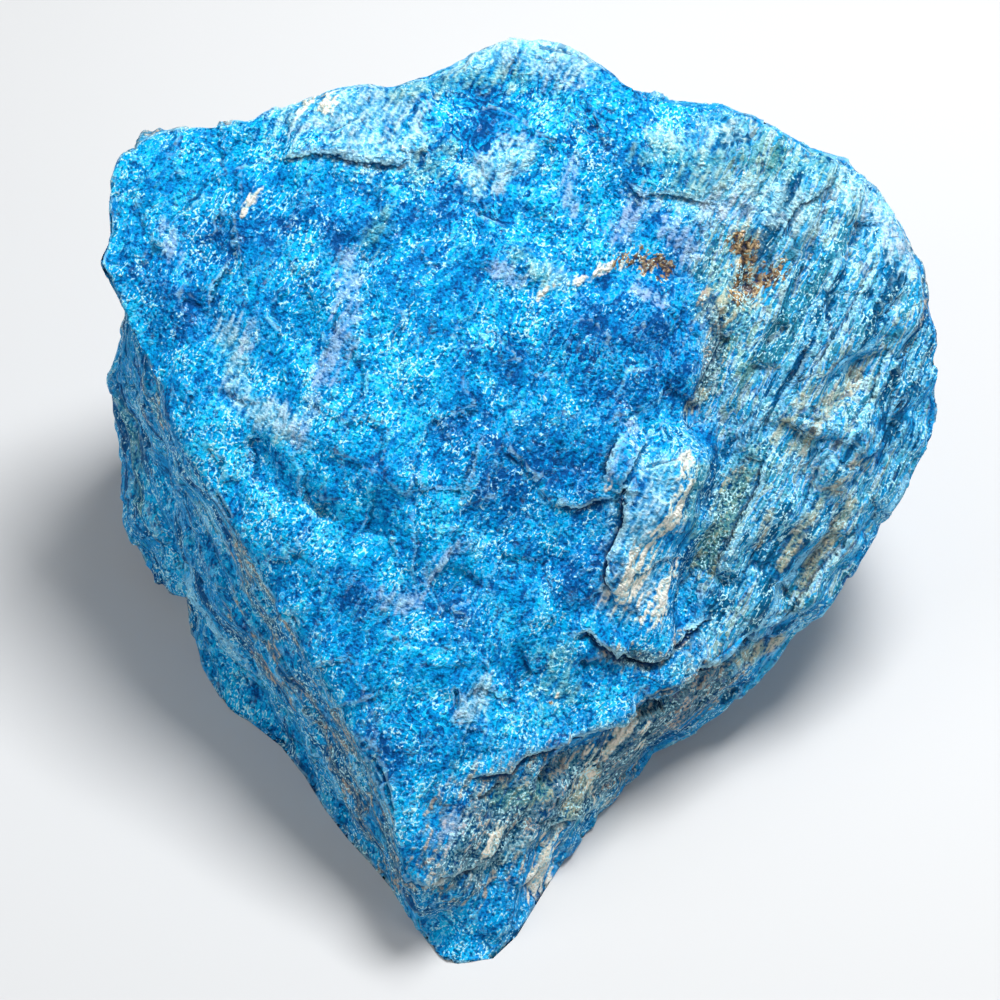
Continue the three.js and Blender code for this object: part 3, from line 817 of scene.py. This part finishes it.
class Stone:
    """The whole specimen: one piece of rock grown together from many crystals."""

    DIVISIONS = 2
    ROUNDNESS = 0.75

    def __init__(self, node: bpy.types.Object, relief: ReliefSizes, view: View) -> None:
        self.relief = relief
        self.view = view
        self.low = np.array(FRAME_LOW) / MM
        self.high = np.array(FRAME_HIGH) / MM
        surface = Surface.from_node(node)
        self.tree = BVHTree.FromPolygons((surface.points * MM).tolist(), surface.faces.tolist())
        for _ in range(self.DIVISIONS):
            surface = surface.divided(self.ROUNDNESS)
        self.surface = surface
        self.edge_side = np.zeros(len(surface.points))
        self.edge_strength = np.zeros(len(surface.points))

    def traced(self, path: Pixels) -> np.ndarray:
        """Carries a path from the photograph onto the stone along the camera's rays.

        Args:
            path: Pixels of the photograph, all of them on the stone.

        Returns:
            Places in millimetres.
        """
        eye = self.view.eye()
        return np.array([self.tree.ray_cast(eye, self.view.ray(pixel))[0] for pixel in path]) / MM

    def fine_relief(self) -> np.ndarray:
        """Height of the crystal faces, striations, flakes and cracks at each point.

        The striations are the edges of thin sheets: a slow rise and a short fall across the
        sheets, wherever the surface cuts them. Where the surface lies along the sheets, the
        same rise and fall with a winding layer height makes flakes with curved edges.

        Returns:
            Heights in millimetres.
        """
        r = self.relief
        p = self.surface.points
        level = p @ unit(r.across_sheets)
        ribbed, shaded = self.sheets_cut()
        wander = strayed(p, r.wander, Salt.WANDER)
        height = Grains.around(p, r.grain, Salt.GRAINS).planes(r.tilt, Salt.TILTS)
        ribs = (p @ unit(r.across_ribs) + wander) / r.rib
        height += sheet_edge(ribs) * r.rib_height * ribbed * (0.6 + 0.4 * swell(p, 12, Salt.RIB_HEIGHT))
        height += sheet_edge((level + wander) / r.sheet) * r.sheet_height * shaded
        winding = level + strayed(p, r.winding, Salt.WINDING)
        winding += strayed(p, r.short_winding, Salt.SHORT_WINDING)
        elsewhere = 0.25 * smoothstep(swell(p, 16, Salt.FLAKES), 0.1, 0.5)
        flaky = np.maximum(self.zone_strength(Zone.FLAKY), elsewhere)
        height += sheet_edge(winding / r.terrace) * r.terrace_step * flaky * (1 - ribbed) * (1 - shaded)
        return height + self.cracks_and_chips() + strayed(p, r.grit, Salt.GRIT) + self.steps()

    def cracks_and_chips(self) -> np.ndarray:
        """Depth of the thin cracks and of the chips off the ridges, as heights below 0."""
        r = self.relief
        p = self.surface.points
        bent = p + strayed(p, r.crack_bend, Salt.CRACK_BEND)[:, None]
        cracks = Grains.around(bent, r.crack_cell, Salt.CRACKS)
        open_here = smoothstep(swell(p, 14, Salt.OPEN_CRACKS), 0.0, 0.4)
        depth = r.crack_depth * open_here * np.exp(-((cracks.gap / 0.7) ** 2))
        sharp = smoothstep(-self.hollowness(), 0.05, 0.16)
        chips = chance(Grains.around(p, r.chip, Salt.CHIPS).cell, Salt.CHIP_DEPTH)
        return -depth - sharp * r.chip_depth * chips**2

    def steps(self) -> np.ndarray:
        """Height of the steps: the high side sinks back slowly and a crack runs along its foot.

        Each step's signed distance and strength are kept too, so that the material can draw its edge
        sharper than the mesh does:
        as a bump, a painted shadow line at its foot and a painted highlight on its lip.

        Returns:
            Heights in millimetres.
        """
        r = self.relief
        p, normals = self.surface.points, self.surface.normals()
        bent = p + np.stack([strayed(p, r.step_bend, Salt.STEP_BEND + i) for i in range(3)], axis=1)
        total = np.zeros(len(p))
        closest = np.full(len(p), np.inf)
        for step in STEPS:
            path = self.traced(step.path)
            lengths = np.linalg.norm(np.diff(path, axis=0), axis=1)
            starts = np.concatenate([[0], np.cumsum(lengths)])
            nearest = np.full(len(p), np.inf)
            side = np.zeros(len(p))
            walked = np.zeros(len(p))
            for start, end, length, before in zip(path[:-1], path[1:], lengths, starts):
                line = (end - start) / length
                t = np.clip((bent - start) @ line, 0, length)
                away = bent - start - t[:, None] * line
                distance = np.linalg.norm(away, axis=1)
                closer = distance < nearest
                nearest = np.where(closer, distance, nearest)
                side = np.where(closer, (away * np.cross(normals, line)).sum(axis=1), side)
                walked = np.where(closer, before + t, walked)
            from_end = np.minimum(walked, starts[-1] - walked)
            ends = smoothstep(from_end, 0, min(r.step_end, starts[-1] / 3))
            high = smoothstep(side, -0.15, 0.35) * np.exp(-nearest / step.fade)
            low = smoothstep(-side, -0.1, 0.2) * np.exp(-((nearest / r.foot_width) ** 2)) * r.foot
            total += step.height * ends * (high - low)
            here = nearest < closest
            closest = np.where(here, nearest, closest)
            self.edge_side = np.where(here, side, self.edge_side)
            self.edge_strength = np.where(here, step.height * ends, self.edge_strength)
        self.edge_strength *= smoothstep(-closest, -r.step_reach, -0.4 * r.step_reach)
        return total

    def carve(self) -> None:
        """Adds the fine relief and keeps the stone inside the frame box and flat on the ground."""
        points = self.surface.points
        on_ground = points[:, 2] < 1e-6
        moved = points + self.surface.normals() * self.fine_relief()[:, None]
        moved[on_ground] = points[on_ground]
        moved[~on_ground, 2] = np.maximum(moved[~on_ground, 2], 0.02)
        self.surface.points = np.clip(moved, self.low, self.high)

    def zone_strength(self, zone: Zone) -> np.ndarray:
        """How strongly each point belongs to a zone, from 0 to 1."""
        p = self.surface.points
        strength = np.zeros(len(p))
        for patch in PATCHES:
            if patch.zone is zone:
                near = np.exp(-((distance_to_path(p, self.traced(patch.path)) / patch.reach) ** 2))
                strength = np.maximum(strength, near)
        return strength

    def hollowness(self) -> np.ndarray:
        """How far each point lies below its neighbours, positive in cracks and negative on edges."""
        inward = self.surface.mean_of_neighbours() - self.surface.points
        return (inward * self.surface.normals()).sum(axis=1)

    def sheets_cut(self) -> tuple[np.ndarray, np.ndarray]:
        """Where the sheets show their edges.

        Returns:
            A number from 0 to 1 for each point on the ribbed right part, and one for the left
            side, the back, the low wall and the underside.
        """
        across = unit(self.relief.across_sheets)
        smooth = self.surface
        for _ in range(4):
            smooth = Surface(smooth.mean_of_neighbours(), smooth.faces)
        facing = smooth.normals() @ across
        steep = 1 - smoothstep(facing, 0.5, 0.8)
        right = smoothstep(self.surface.points[:, 0], 16, 28) * (1 - steep)
        return right, steep

    def build(self) -> bpy.types.Object:
        """Makes the stone's mesh object with its zones stored on the points."""
        self.carve()
        points, faces = self.surface.points, self.surface.faces
        mesh = bpy.data.meshes.new("stone_mesh")
        mesh.from_pydata((points * MM).tolist(), [], faces.tolist())
        mesh.polygons.foreach_set("use_smooth", np.ones(len(faces), dtype=bool))
        for name, strength in self.point_values().items():
            mesh.attributes.new(name, "FLOAT", "POINT").data.foreach_set("value", strength)
        sway = np.stack([strayed(points, self.relief.sway, Salt.SWAY + i) for i in range(3)], axis=1)
        mesh.attributes.new("sway", "FLOAT_VECTOR", "POINT").data.foreach_set("vector", sway.ravel())
        mesh.update()
        stone = bpy.data.objects.new("apatite_stone", mesh)
        bpy.context.scene.collection.objects.link(stone)
        LOG.info("stone: %d points, %d triangles", len(points), len(faces))
        return stone

    def point_values(self) -> dict[str, np.ndarray]:
        """All numbers that the material reads from the points, by name."""
        values = {zone.value: self.zone_strength(zone) for zone in Zone}
        values["ribbed"], values["shaded"] = self.sheets_cut()
        patchy = smoothstep(swell(self.surface.points, 17, Salt.STAINED_SIDES), 0.1, 0.45)
        stained = 0.4 * smoothstep(values["shaded"], 0.7, 0.98) * patchy
        values[Zone.TEAL_AND_SHADE.value] = np.maximum(values[Zone.TEAL_AND_SHADE.value], stained)
        values["hollow"] = self.hollowness()
        values["edge_side"] = self.edge_side
        values["edge_strength"] = self.edge_strength
        return values


def sheet_edge(layer: np.ndarray) -> np.ndarray:
    """Profile of one sheet edge for each whole layer: a slow rise and a short fall, -0.5 to 0.5."""
    part = layer - np.floor(layer)
    return np.where(part < 0.72, part / 0.72, (1 - part) / 0.28) - 0.5


Socket = bpy.types.NodeSocket


class Graph:
    """A material's nodes, with short ways to add the ones this scene needs."""

    def __init__(self, name: str) -> None:
        self.material = bpy.data.materials.new(name)
        self.material.use_nodes = True
        self.tree = self.material.node_tree
        self.tree.nodes.clear()

    def add(self, kind: str, inputs: dict | None = None, **settings) -> bpy.types.Node:
        """Adds one node.

        Args:
            kind: Node type without "ShaderNode".
            inputs: Value or socket for each input, by name or number.
            **settings: Properties of the node.

        Returns:
            The new node.
        """
        node = self.tree.nodes.new("ShaderNode" + kind)
        for name, value in settings.items():
            setattr(node, name, value)
        for key, value in (inputs or {}).items():
            if isinstance(value, Socket):
                self.tree.links.new(value, node.inputs[key])
            else:
                node.inputs[key].default_value = value
        return node

    def maths(self, operation: str, *values) -> Socket:
        """One sum of numbers."""
        return self.add("Math", dict(enumerate(values)), operation=operation).outputs[0]

    def vector(self, operation: str, first, second) -> Socket:
        """One sum of vectors."""
        node = self.add("VectorMath", {0: first, 1: second}, operation=operation)
        return node.outputs["Value"] if operation == "DOT_PRODUCT" else node.outputs["Vector"]

    def scaled(self, vector: Socket, factor: float) -> Socket:
        """A vector times a number."""
        return self.add("VectorMath", {0: vector, "Scale": factor}, operation="SCALE").outputs["Vector"]

    def step(self, value: Socket, low: float, high: float) -> Socket:
        """Rises smoothly from 0 at low to 1 at high."""
        inputs = {"Value": value, "From Min": low, "From Max": high}
        return self.add("MapRange", inputs, interpolation_type="SMOOTHSTEP").outputs["Result"]

    def noise(self, vector: Socket, size: float, detail: float, rough: float) -> Socket:
        """Cloudy noise.

        Args:
            vector: Coordinates of the noise.
            size: Size of its largest blots.
            detail: How many times finer blots are added, each half as large.
            rough: Strength of each finer layer against the one before.

        Returns:
            Numbers round one half.
        """
        inputs = {"Vector": vector, "Scale": 1 / size, "Detail": detail, "Roughness": rough}
        return self.add("TexNoise", inputs).outputs["Fac"]

    def either(self, second_holds: Socket, first: Socket, second: Socket) -> Socket:
        """The first vector where the number is 0 and the second where it is 1."""
        node = self.add("Mix", {"Factor": second_holds, 4: first, 5: second}, data_type="VECTOR")
        return node.outputs[1]

    def attribute(self, name: str) -> Socket:
        """A number stored on the points."""
        return self.add("Attribute", attribute_name=name, attribute_type="GEOMETRY").outputs["Fac"]

    def ramp(self, value: Socket, tones: Tones, low: float, high: float) -> Socket:
        """Spreads tones evenly between two values."""
        node = self.add("ValToRGB", {"Fac": value})
        stops = node.color_ramp.elements
        while len(stops) < len(tones):
            stops.new(0.5)
        for i, tone in enumerate(tones):
            stops[i].position = low + (high - low) * i / (len(tones) - 1)
            stops[i].color = linear(tone)
        return node.outputs["Color"]

    def mix(self, amount, first, second) -> Socket:
        """Goes from the first colour to the second."""
        node = self.add("Mix", {"Factor": amount}, data_type="RGBA")
        for value, number in ((first, 6), (second, 7)):
            if isinstance(value, Socket):
                self.tree.links.new(value, node.inputs[number])
            else:
                node.inputs[number].default_value = value
        return node.outputs[2]


class ApatiteRock:
    """Broken apatite rock.

    It was made by breaking a massive vein by hand. Each crystal parts on flat, glassy faces
    that glint, and the crushed slivers between them scatter white. Iron has stained the
    seams, and thin grey, cream and green sheets run through the blue.
    """

    def __init__(self, finish: ApatiteFinish, relief: ReliefSizes) -> None:
        self.finish = finish
        self.relief = relief
        self.sizes = TextureSizes()
        self.weights = ToneWeights()
        self.graph = Graph("broken_apatite_rock")
        self.place: Socket = self.graph.scaled(self.graph.add("TexCoord").outputs["Object"], 1 / MM)
        self.lay_out_spaces()
        self.draw_patterns()
        self.mark_areas()

    def stretched(self, place: Socket, along_squeeze: float, beside_squeeze: float) -> Socket:
        """Coordinates along the long crystals, beside them and across the sheets.

        Args:
            place: Coordinates in millimetres.
            along_squeeze: Factor along the crystals: less than 1 draws noise out into streaks.
            beside_squeeze: Factor beside them, within the sheets.

        Returns:
            The new coordinates.
        """
        g = self.graph
        across = Vector(self.relief.across_sheets).normalized()
        along = Vector(self.relief.along_fibres)
        along = (along - across * along.dot(across)).normalized()
        axes = (("X", along, along_squeeze), ("Y", across.cross(along), beside_squeeze), ("Z", across, 1.0))
        parts = {}
        for axis, direction, squeeze in axes:
            parts[axis] = g.maths("MULTIPLY", g.vector("DOT_PRODUCT", place, tuple(direction)), squeeze)
        return g.add("CombineXYZ", parts).outputs[0]

    def crystal(self, place: Socket, size: float) -> tuple[Socket, Socket]:
        """Random crystals of a size.

        Args:
            place: Coordinates in millimetres.
            size: Size of a crystal in millimetres.

        Returns:
            A random number for each crystal, and the height of its tilted flat face.
        """
        g = self.graph
        cells = g.add("TexVoronoi", {"Vector": place, "Scale": 1 / size, "Randomness": 1.0})
        offset = g.vector("SUBTRACT", place, cells.outputs["Position"])
        tilt = g.vector("SUBTRACT", cells.outputs["Color"], (0.5, 0.5, 0.5))
        number = g.add("SeparateColor", {"Color": cells.outputs["Color"]}).outputs[0]
        return number, g.vector("DOT_PRODUCT", offset, tilt)

    def centred(self, value: Socket, amount: float, base) -> Socket:
        """Adds a value that swings round one half, times an amount, to a base."""
        g = self.graph
        return g.maths("MULTIPLY_ADD", g.maths("SUBTRACT", value, 0.5), amount, base)

    def product(self, first, second) -> Socket:
        """The product of two numbers."""
        return self.graph.maths("MULTIPLY", first, second)

    def lay_out_spaces(self) -> None:
        """Makes the coordinates that are drawn out along the crystals of each part of the stone."""
        g = self.graph
        sway = g.add("Attribute", attribute_name="sway", attribute_type="GEOMETRY").outputs["Vector"]
        self.bent = g.vector("ADD", self.place, sway)
        nearly_straight = g.vector("ADD", self.place, g.scaled(sway, 0.3))
        self.ribbed, self.shaded = g.attribute("ribbed"), g.attribute("shaded")
        fibres = self.stretched(nearly_straight, 0.09, 0.8)
        sheets = self.stretched(nearly_straight, 0.14, 0.14)
        self.long_space = g.either(g.maths("GREATER_THAN", self.shaded, 0.5), fibres, sheets)
        flow = self.stretched(self.bent, 0.4, 0.9)
        splinters = self.stretched(nearly_straight, 0.3, 0.9)
        self.splinter_space = g.either(g.maths("GREATER_THAN", self.ribbed, 0.5), flow, splinters)

    def draw_patterns(self) -> None:
        """Makes the patterns from which colours, gloss and relief are mixed."""
        g, s = self.graph, self.sizes
        self.cloud = g.noise(self.bent, s.cloud, 2, 0.6)
        self.fine = g.noise(self.place, s.fine, 1, 0.85)
        self.grit = g.noise(self.place, s.grit, 1, 0.6)
        self.streak = g.noise(self.long_space, s.streak, 1, 0.85)
        self.band = g.noise(self.long_space, s.band, 1, 0.55)
        self.large_number = self.crystal(self.bent, s.large_crystal)[0]
        self.small_number, self.small_face = self.crystal(self.splinter_space, s.crystal)
        across = tuple(unit(self.relief.across_sheets))
        winding = self.centred(self.cloud, s.flake_winding, g.vector("DOT_PRODUCT", self.bent, across))
        self.flakes = g.maths("FRACT", self.product(winding, 1 / s.flake))
        self.edge_side = self.centred(self.fine, s.step_fray, g.attribute("edge_side"))
        self.edge_strength = g.attribute("edge_strength")

    def mark_areas(self) -> None:
        """Makes the areas with long crystals, flakes, clean crystals and pale blades, from 0 to 1."""
        g = self.graph
        self.ribbed_area = g.step(self.centred(self.cloud, 1.4, self.ribbed), 0.25, 0.75)
        self.shaded_area = g.step(self.centred(self.cloud, 1.4, self.shaded), 0.25, 0.75)
        frayed = self.centred(self.fine, 0.6, g.attribute(Zone.FLAKY.value))
        self.flaky = g.step(self.centred(self.cloud, 1.2, frayed), 0.3, 0.8)
        self.deep = g.attribute(Zone.DEEP.value)
        clean = g.step(g.maths("MULTIPLY_ADD", self.deep, 0.3, self.large_number), 0.7, 0.73)
        sheets = g.maths("MAXIMUM", self.ribbed_area, self.shaded_area)
        self.clean = self.product(clean, g.maths("SUBTRACT", 1.0, sheets))
        self.bladed = g.maths("MAXIMUM", g.attribute(Zone.CREAM.value), g.attribute(Zone.PALE.value))

    def plain_colour(self) -> Socket:
        """The blue of the crystals, and the tones of the long crystals and sheets."""
        g, f, w = self.graph, self.finish, self.weights
        tone = self.centred(self.cloud, w.cloud, w.middle)
        swings = (
            (self.large_number, w.large_crystal),
            (self.small_number, w.crystal),
            (self.fine, w.fine),
            (self.grit, w.grit),
            (self.streak, w.streak),
        )
        for pattern, amount in swings:
            tone = self.centred(pattern, amount, tone)
        tone = self.centred(self.flakes, self.product(self.flaky, w.flake), tone)
        tone = g.maths("MULTIPLY_ADD", self.clean, w.clean, tone)
        tone = g.maths("MULTIPLY_ADD", g.attribute(Zone.BRIGHT.value), w.bright, tone)
        tone = g.maths("MULTIPLY_ADD", self.deep, w.deep, tone)
        colour = g.ramp(tone, f.azure, 0.02, 0.98)
        long_tone = self.centred(self.small_number, 0.12, self.centred(self.streak, 0.4, self.band))
        for area, tones in ((self.ribbed_area, f.ribbed), (self.shaded_area, f.shaded)):
            colour = g.mix(self.product(area, 0.85), colour, g.ramp(long_tone, tones, 0.34, 0.66))
        return colour

    def stained(self, colour: Socket) -> Socket:
        """Lays the coloured areas over the plain colour, each with its own ragged edge."""
        g = self.graph
        speckled = self.centred(self.grit, 1.0, self.centred(self.fine, 1.4, 0.0))
        blotted = self.centred(self.cloud, 0.5, self.centred(self.fine, 0.8, 0.0))
        breakups = {
            Breakup.BLOTS: self.centred(self.streak, 1.7, blotted),
            Breakup.STRIPS: self.centred(self.streak, 2.2, self.centred(self.fine, 0.9, 0.0)),
            Breakup.SPECKS: self.centred(self.small_number, 0.8, speckled),
        }
        tone = self.centred(self.grit, 0.7, self.centred(self.fine, 0.9, self.streak))
        for stain in STAINS:
            inside = g.attribute(stain.zone.value)
            ragged = g.maths("ADD", inside, breakups[stain.breakup])
            amount = self.product(g.step(ragged, stain.starts, stain.full), stain.most)
            amount = self.product(amount, g.step(inside, 0.02, 0.2))
            colour = g.mix(amount, colour, g.ramp(tone, stain.tones, 0.3, 0.7))
        return colour

    def crushed(self, colour: Socket) -> Socket:
        """Paints shade into the deep gaps where the fine bumps are low, and draws the pale edges of the
        small crystals, partly their crushed white and partly painted glints.
        """
        g, f = self.graph, self.finish
        # Painted shade: the gaps are darkened where the fine bumps are low.
        gaps = g.step(self.centred(self.grit, 0.8, self.fine), 0.42, 0.27)
        gaps = self.product(gaps, g.maths("MULTIPLY_ADD", self.bladed, -0.5, 0.65))
        colour = g.mix(gaps, colour, linear(f.gap))
        patchy = self.centred(self.large_number, 0.3, self.centred(self.grit, 0.5, self.fine))
        patchy = g.step(self.centred(self.cloud, 1.3, patchy), 0.42, 0.66)
        settings = {"Vector": self.splinter_space, "Scale": 1 / self.sizes.crystal}
        from_edge = g.add("TexVoronoi", settings, feature="DISTANCE_TO_EDGE").outputs["Distance"]
        # Pale edge strokes: partly the crushed white of the rock, partly painted glints.
        edges = self.product(g.step(from_edge, 0.13, 0.03), g.step(self.grit, 0.46, 0.56))
        not_clean = g.maths("SUBTRACT", 1.0, self.product(self.clean, 0.8))
        edges = self.product(self.product(edges, patchy), not_clean)
        return g.mix(self.product(edges, 0.95), colour, linear(f.fleck))

    def paint_edge_shade_and_highlight(self, colour: Socket) -> Socket:
        """Paints shade into hollows and a shadow line into the cracks under steps, paints a highlight on
        the steps' lips, and lightens ridges partly as crushed white and partly as painted highlight.
        """
        g, f = self.graph, self.finish
        hollow = g.attribute("hollow")
        side, strength = self.edge_side, self.edge_strength
        # Painted shadow: a dark line along the foot of each step.
        crack = self.product(g.step(side, -0.55, -0.12), g.step(side, 0.08, -0.06))
        # Painted highlight: a pale line along each step's lip.
        lip = self.product(g.step(side, 0.0, 0.12), g.step(side, 0.5, 0.2))
        # In order: painted shade in the hollows, ridges lightened partly as crushed white and partly as
        # painted highlight, the painted shadow under each step, the painted highlight on its lip.
        layers = (
            (self.product(g.step(hollow, 0.03, 0.15), 0.55), f.painted_crevice_shade),
            (self.product(g.step(hollow, -0.05, -0.2), 0.25), f.fleck),
            (self.product(crack, strength), f.painted_crevice_shade),
            (self.product(self.product(lip, strength), 0.6), f.fleck),
        )
        for amount, tone in layers:
            colour = g.mix(amount, colour, linear(tone))
        return colour

    def bumps(self) -> Socket:
        """The fine relief that is too small for the mesh, as a normal."""
        g, s = self.graph, self.sizes
        height = g.maths("MULTIPLY_ADD", self.fine, s.bump, self.small_face)
        height = g.maths("MULTIPLY_ADD", self.grit, s.grit_bump, height)
        riser = self.product(g.step(self.edge_side, -0.15, 0.15), self.edge_strength)
        height = g.maths("MULTIPLY_ADD", riser, s.step_bump, height)
        ridged = g.maths("MAXIMUM", self.ribbed, g.maths("MAXIMUM", self.shaded, self.bladed))
        height = g.maths("MULTIPLY_ADD", self.product(self.streak, ridged), s.streak_bump, height)
        return g.add("Bump", {"Height": height, "Strength": 1.0, "Distance": MM}).outputs["Normal"]

    def build(self) -> bpy.types.Material:
        """Joins the colours, the gloss and the fine relief."""
        g, f = self.graph, self.finish
        glassy = g.step(self.small_number, 0.85, 0.89)
        inputs = {
            "Base Color": self.paint_edge_shade_and_highlight(self.crushed(self.stained(self.plain_colour()))),
            "Roughness": g.maths("MULTIPLY_ADD", glassy, f.gloss - f.matt, f.matt),
            "IOR": f.ior,
            "Specular IOR Level": g.maths("MULTIPLY_ADD", glassy, f.gloss_level, f.matt_level),
            "Normal": self.bumps(),
        }
        shader = g.add("BsdfPrincipled", inputs)
        output = g.add("OutputMaterial")
        g.tree.links.new(shader.outputs["BSDF"], output.inputs["Surface"])
        return g.material


class Studio:
    """Pale floor, soft light and the camera."""

    def __init__(self, view: View) -> None:
        self.view = view
        self.low, self.high = Vector(FRAME_LOW), Vector(FRAME_HIGH)
        self.span = (self.high - self.low).length

    def floor(self) -> bpy.types.Object:
        """A wide, plain, pale floor that the stone lies on."""
        reach = self.span * 12
        mesh = bpy.data.meshes.new("floor_mesh")
        corners = [(-reach, -reach, 0), (reach, -reach, 0), (reach, reach, 0), (-reach, reach, 0)]
        mesh.from_pydata(corners, [], [(0, 1, 2, 3)])
        g = Graph("pale_studio_floor")
        shader = g.add("BsdfPrincipled", {"Base Color": linear("#c6c7c8"), "Roughness": 0.85})
        output = g.add("OutputMaterial")
        g.tree.links.new(shader.outputs["BSDF"], output.inputs["Surface"])
        mesh.materials.append(g.material)
        floor = bpy.data.objects.new("floor", mesh)
        bpy.context.scene.collection.objects.link(floor)
        return floor

    def area(self, name: str, place: Place, size: float, watts: float) -> bpy.types.Object:
        """A square soft light that faces the stone.

        Args:
            name: Name of the light.
            place: Place in spans of the stone, from its middle.
            size: Side of the light in spans.
            watts: Power of the light.

        Returns:
            The light.
        """
        data = bpy.data.lights.new(name, "AREA")
        data.size = size * self.span
        data.energy = watts
        light = bpy.data.objects.new(name, data)
        middle = (self.low + self.high) / 2
        light.location = middle + Vector(place) * self.span
        light.rotation_mode = "QUATERNION"
        light.rotation_quaternion = (middle - light.location).to_track_quat("-Z", "Y")
        bpy.context.scene.collection.objects.link(light)
        return light

    def world(self) -> None:
        """Even light from all round, as in a white room."""
        world = bpy.data.worlds.new("soft_studio")
        world.use_nodes = True
        background = world.node_tree.nodes["Background"]
        background.inputs["Color"].default_value = linear("#f2f5f8")
        background.inputs["Strength"].default_value = 0.21
        bpy.context.scene.world = world

    def camera(self) -> bpy.types.Object:
        """The camera at the photograph's angle."""
        data = bpy.data.cameras.new("camera")
        data.lens = self.view.lens
        data.sensor_width = self.view.sensor
        data.dof.use_dof = False
        data.clip_start, data.clip_end = 0.01, 10
        camera = bpy.data.objects.new("camera", data)
        camera.location = self.view.eye()
        camera.rotation_mode = "QUATERNION"
        camera.rotation_quaternion = (-self.view.towards_camera()).to_track_quat("-Z", "Y")
        bpy.context.scene.collection.objects.link(camera)
        bpy.context.scene.camera = camera
        return camera

    def build(self) -> None:
        """Puts up the floor, the lights and the camera."""
        self.floor()
        self.world()
        self.area("key_above", (0.7, 0.8, 2.4), 1.0, 2.6)
        self.area("fill_left", (-2.3, -0.9, 1.3), 1.6, 0.7)
        self.area("fill_right", (2.2, -1.2, 1.1), 1.6, 0.4)
        self.camera()
        bpy.context.scene.view_settings.view_transform = "Standard"


def main() -> None:
    """Builds the stone and the studio."""
    logging.basicConfig(level=logging.INFO)
    relief, view = ReliefSizes(), View()
    stone = Stone(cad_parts["stone"], relief, view).build()
    stone.data.materials.append(ApatiteRock(ApatiteFinish(), relief).build())
    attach(stone, "root")
    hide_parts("stone")
    Studio(view).build()


if __name__ == "__main__":
    main()
